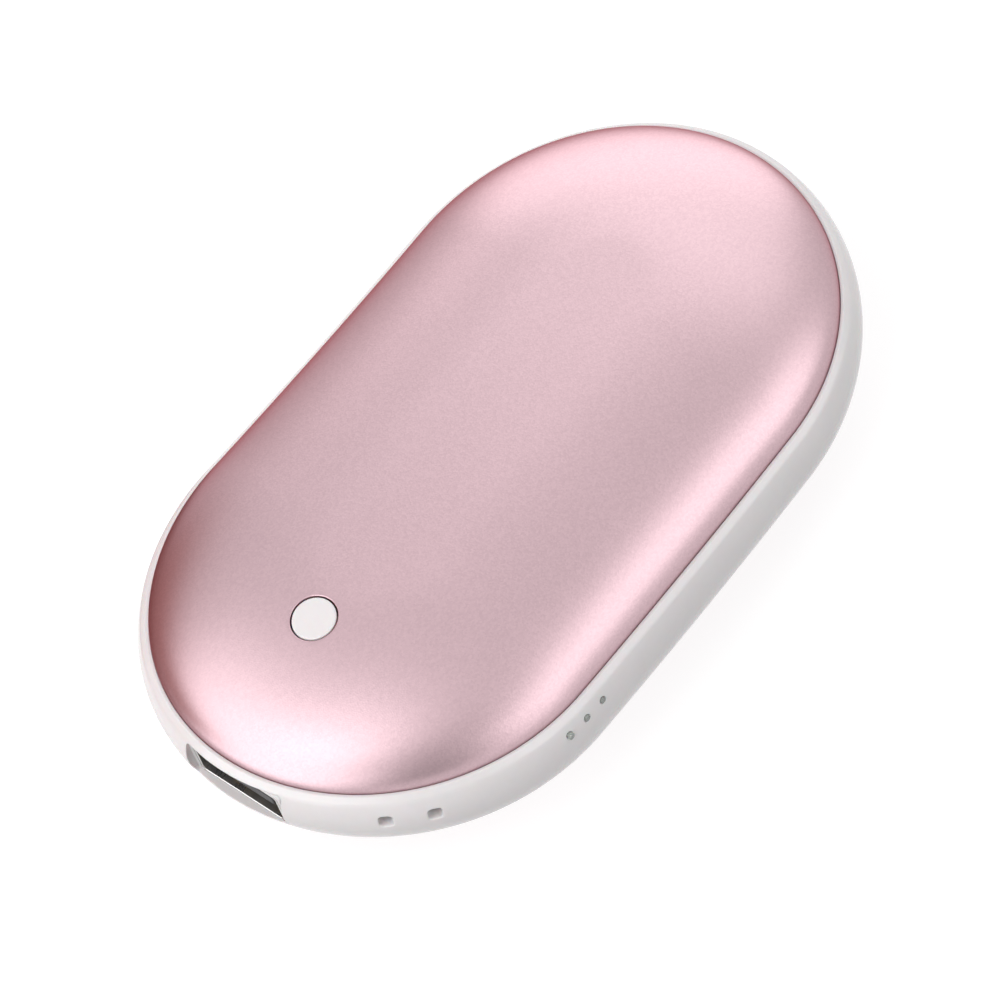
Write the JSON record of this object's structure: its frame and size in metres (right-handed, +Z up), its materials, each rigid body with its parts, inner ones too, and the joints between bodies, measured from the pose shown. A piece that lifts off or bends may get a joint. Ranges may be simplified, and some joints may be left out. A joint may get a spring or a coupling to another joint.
{
  "type": "rechargeable hand warmer",
  "caption": "Flat pebble hand warmer: two soft metal shells in a plastic frame, with a push button, charge lights, lanyard holes, charging inlet and power outlet.",
  "frame": {"origin": "middle of the flat underside, below the middle of the body's outline", "axes": "+Z up through the button's face; +Y along the body, away from the end with the power outlet; +X towards the charge lights"},
  "size_m": [0.0614, 0.1049, 0.025],
  "materials": {
    "anodised_pink": "sand-blasted and anodised, satin",
    "gloss_white": "glossy moulded",
    "inner_white": "moulded",
    "black_plastic": "moulded",
    "grey_plastic": "moulded",
    "steel": "nickel plated",
    "gold": "gold plated",
    "board_green": "solder mask",
    "ceramic_tan": "fired",
    "light_yellow": "clear resin over phosphor",
    "clear": "clear moulded",
    "cell_metal": "nickel plated",
    "sleeve_teal": "heat-shrunk",
    "film_amber": "polyimide film",
    "foam_grey": "closed-cell foam",
    "glue": "cured adhesive",
    "insulation_red": "extruded",
    "insulation_blue": "extruded",
    "insulation_black": "extruded",
    "insulation_white": "extruded"
  },
  "bodies": {
    "housing": {"top_shell": "anodised_pink", "bottom_shell": "anodised_pink", "middle_frame": "gloss_white", "glue_ring_top": "glue", "glue_ring_bottom": "glue", "button_guide": "inner_white", "switch_base": "grey_plastic", "switch_lid": "steel", "switch_dome": "gold", "switch_pins": "steel", "circuit_board": "board_green", "board_screws": "steel", "outlet_shell": "steel", "outlet_tongue": "black_plastic", "outlet_contacts": "gold", "inlet_shell": "steel", "inlet_tongue": "black_plastic", "control_chips": "black_plastic", "power_inductor": "grey_plastic", "capacitors": "ceramic_tan", "resistors": "black_plastic", "power_transistors": "black_plastic", "charge_lights": "light_yellow", "light_guide": "clear", "cell_cans": "cell_metal", "cell_sleeves": "sleeve_teal", "cell_rings": "insulation_white", "cell_caps": "steel", "nickel_strip_front": "steel", "nickel_strip_rear": "steel", "battery_lead_plus": "insulation_red", "battery_lead_minus": "insulation_black", "cell_tray": "inner_white", "tray_screws": "steel", "heater_film_top": "film_amber", "heater_film_bottom": "film_amber", "heater_leads_top": "insulation_red", "heater_leads_bottom": "insulation_blue", "foam_pad_top": "foam_grey", "foam_pad_bottom": "foam_grey", "temperature_sensor": "black_plastic", "sensor_leads": "insulation_white"},
    "button": {"button_cap": "gloss_white"},
    "plunger": {"switch_plunger": "black_plastic"}
  },
  "joints": [
    {"name": "button_press", "type": "slide", "parent": "housing", "child": "button", "axis": [0, 0, -1], "range_m": [0, 0.0003], "stiffness_N_per_m": 400, "springref_m": -0.0003},
    {"name": "plunger_press", "type": "slide", "parent": "housing", "child": "plunger", "axis": [0, 0, -1], "range_m": [0, 0.0003]}
  ],
  "couplings": [
    {"joint": "plunger_press", "follows": "button_press", "ratio": 1}
  ]
}
